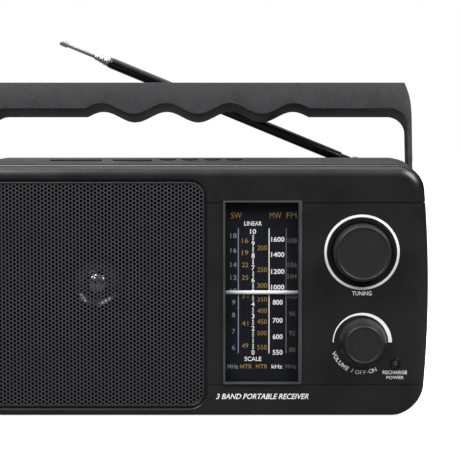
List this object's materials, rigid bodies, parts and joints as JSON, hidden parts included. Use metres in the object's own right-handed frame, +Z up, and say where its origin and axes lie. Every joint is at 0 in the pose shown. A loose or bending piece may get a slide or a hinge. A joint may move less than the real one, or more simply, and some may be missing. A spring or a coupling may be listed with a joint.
{
  "type": "portable radio receiver",
  "caption": "Portable receiver with perforated loudspeaker grille, tall tuning dial, turning knobs, swinging carrying handle and telescopic antenna.",
  "frame": {"origin": "on the flat underside of the rear cabinet, under the middle of the set's width", "axes": "+X to the right of someone facing the dial, +Y to the back, +Z up"},
  "size_m": [0.2616, 0.092, 0.2146],
  "materials": {
    "cabinet": "fine satin texture",
    "handle": "fine leather-like texture",
    "knobs": "satin",
    "dial_frame": "satin",
    "grille": "satin black paint",
    "antenna": "bright",
    "steel": "plain",
    "dial_plate": "printed",
    "window": "clear",
    "pointer": "plain white",
    "paper": "black cone paper",
    "dust_cap": "bright dome",
    "cells": "plain jacket",
    "boards": "circuit board",
    "ferrite": "dull",
    "winding": "enamelled wire",
    "cord": "waxed cord",
    "lamp": "dark lens"
  },
  "bodies": {
    "cabinet": {"front_cabinet": "cabinet", "rear_cabinet": "cabinet", "speaker_grille": "grille", "dial_frame": "dial_frame", "dial_window": "window", "dial_scale_plate": "dial_plate", "pointer_guide_rod": "steel", "volume_control": "steel", "power_lamp": "lamp", "handle_pin_left": "knobs", "handle_pin_right": "knobs", "band_switch": "knobs", "function_switch": "knobs", "player_board": "boards", "battery_tray": "cabinet", "battery_left": "cells", "battery_right": "cells", "battery_spring": "steel", "battery_contact": "steel", "case_screw_1": "steel", "case_screw_2": "steel", "case_screw_3": "steel", "case_screw_4": "steel", "speaker_frame": "steel", "speaker_magnet": "ferrite", "speaker_cone": "paper", "speaker_dust_cap": "dust_cap", "main_circuit_board": "boards", "tuning_capacitor": "pointer", "upper_idler_pin": "steel", "lower_idler_pin": "steel", "dial_cord": "cord", "ferrite_rod": "ferrite", "ferrite_coil": "winding", "power_transformer": "steel", "mains_inlet": "knobs"},
    "tuning": {"tuning_knob": "knobs", "tuning_shaft": "steel"},
    "pointer": {"dial_pointer": "pointer"},
    "drum": {"cord_drum": "pointer"},
    "upper_idler": {"upper_idler_pulley": "pointer"},
    "lower_idler": {"lower_idler_pulley": "pointer"},
    "volume": {"volume_knob": "knobs", "volume_shaft": "steel"},
    "handle": {"carry_handle": "handle"},
    "band_selector": {"band_slider": "knobs"},
    "function_selector": {"function_slider": "knobs"},
    "previous": {"previous_button": "knobs"},
    "play": {"play_button": "knobs"},
    "next": {"next_button": "knobs"},
    "mode": {"mode_button": "knobs"},
    "antenna_swivel": {"antenna_fork": "antenna", "antenna_hinge_pin": "steel"},
    "antenna_base_section": {"antenna_lug": "antenna", "antenna_tube_1": "antenna"},
    "antenna_section_2": {"antenna_tube_2": "antenna"},
    "antenna_section_3": {"antenna_tube_3": "antenna"},
    "antenna_section_4": {"antenna_tube_4": "antenna"},
    "antenna_tip_section": {"antenna_rod": "antenna"},
    "battery_cover": {"battery_door": "cabinet"}
  },
  "joints": [
    {"name": "tuning_turn", "type": "hinge", "parent": "cabinet", "child": "tuning", "pos_m": [0.0928, -0.045, 0.0928], "axis": [0, 1, 0], "range_deg": [-640, 660]},
    {"name": "pointer_travel", "type": "slide", "parent": "cabinet", "child": "pointer", "axis": [0, 0, 1], "range_m": [-0.0336, 0.0347]},
    {"name": "drum_turn", "type": "hinge", "parent": "cabinet", "child": "drum", "pos_m": [0.0925, -0.0175, 0.062], "axis": [0, 1, 0], "range_deg": [-88, 91]},
    {"name": "upper_idler_turn", "type": "hinge", "parent": "cabinet", "child": "upper_idler", "pos_m": [0.068, -0.0175, 0.124], "axis": [0, 1, 0], "range_deg": [-450, 465]},
    {"name": "lower_idler_turn", "type": "hinge", "parent": "cabinet", "child": "lower_idler", "pos_m": [0.068, -0.0175, 0.016], "axis": [0, 1, 0], "range_deg": [-450, 465]},
    {"name": "volume_turn", "type": "hinge", "parent": "cabinet", "child": "volume", "pos_m": [0.0932, -0.045, 0.042], "axis": [0, 1, 0], "range_deg": [0, 300]},
    {"name": "handle_swing", "type": "hinge", "parent": "cabinet", "child": "handle", "pos_m": [0, 0.002, 0.118], "axis": [1, 0, 0], "range_deg": [0, 22]},
    {"name": "band_select", "type": "slide", "parent": "cabinet", "child": "band_selector", "axis": [1, 0, 0], "range_m": [-0.009, 0.009]},
    {"name": "function_select", "type": "slide", "parent": "cabinet", "child": "function_selector", "axis": [1, 0, 0], "range_m": [-0.0055, 0.0055]},
    {"name": "previous_press", "type": "slide", "parent": "cabinet", "child": "previous", "axis": [0, -0.0985, 0.9951], "range_m": [-0.0008, 0], "stiffness_N_per_m": 150, "springref_m": 0.0005},
    {"name": "play_press", "type": "slide", "parent": "cabinet", "child": "play", "axis": [0, -0.0985, 0.9951], "range_m": [-0.0008, 0], "stiffness_N_per_m": 150, "springref_m": 0.0005},
    {"name": "next_press", "type": "slide", "parent": "cabinet", "child": "next", "axis": [0, -0.0985, 0.9951], "range_m": [-0.0008, 0], "stiffness_N_per_m": 150, "springref_m": 0.0005},
    {"name": "mode_press", "type": "slide", "parent": "cabinet", "child": "mode", "axis": [0, -0.0985, 0.9951], "range_m": [-0.0008, 0], "stiffness_N_per_m": 150, "springref_m": 0.0005},
    {"name": "antenna_turn", "type": "hinge", "parent": "cabinet", "child": "antenna_swivel", "pos_m": [0.0928, 0.034, 0.141], "axis": [0, 0, -1], "range_deg": [0, 180]},
    {"name": "antenna_tilt", "type": "hinge", "parent": "antenna_swivel", "child": "antenna_base_section", "pos_m": [0.0928, 0.034, 0.141], "axis": [0, 1, 0], "range_deg": [-22.4, 67.6]},
    {"name": "section_2_slide", "type": "slide", "parent": "antenna_base_section", "child": "antenna_section_2", "axis": [-0.9245, 0, 0.3811], "range_m": [0, 0.105]},
    {"name": "section_3_slide", "type": "slide", "parent": "antenna_section_2", "child": "antenna_section_3", "axis": [-0.9245, 0, 0.3811], "range_m": [0, 0.105]},
    {"name": "section_4_slide", "type": "slide", "parent": "antenna_section_3", "child": "antenna_section_4", "axis": [-0.9245, 0, 0.3811], "range_m": [0, 0.105]},
    {"name": "tip_slide", "type": "slide", "parent": "antenna_section_4", "child": "antenna_tip_section", "axis": [-0.9245, 0, 0.3811], "range_m": [0, 0.105]},
    {"name": "cover_pull", "type": "slide", "parent": "cabinet", "child": "battery_cover", "axis": [0, 1, 0], "range_m": [0, 0.03]}
  ],
  "couplings": [
    {"joint": "pointer_travel", "follows": "tuning_turn", "m_per_rad": 0.003},
    {"joint": "drum_turn", "follows": "tuning_turn", "ratio": 0.13636},
    {"joint": "upper_idler_turn", "follows": "tuning_turn", "ratio": 0.69767},
    {"joint": "lower_idler_turn", "follows": "tuning_turn", "ratio": 0.69767}
  ]
}
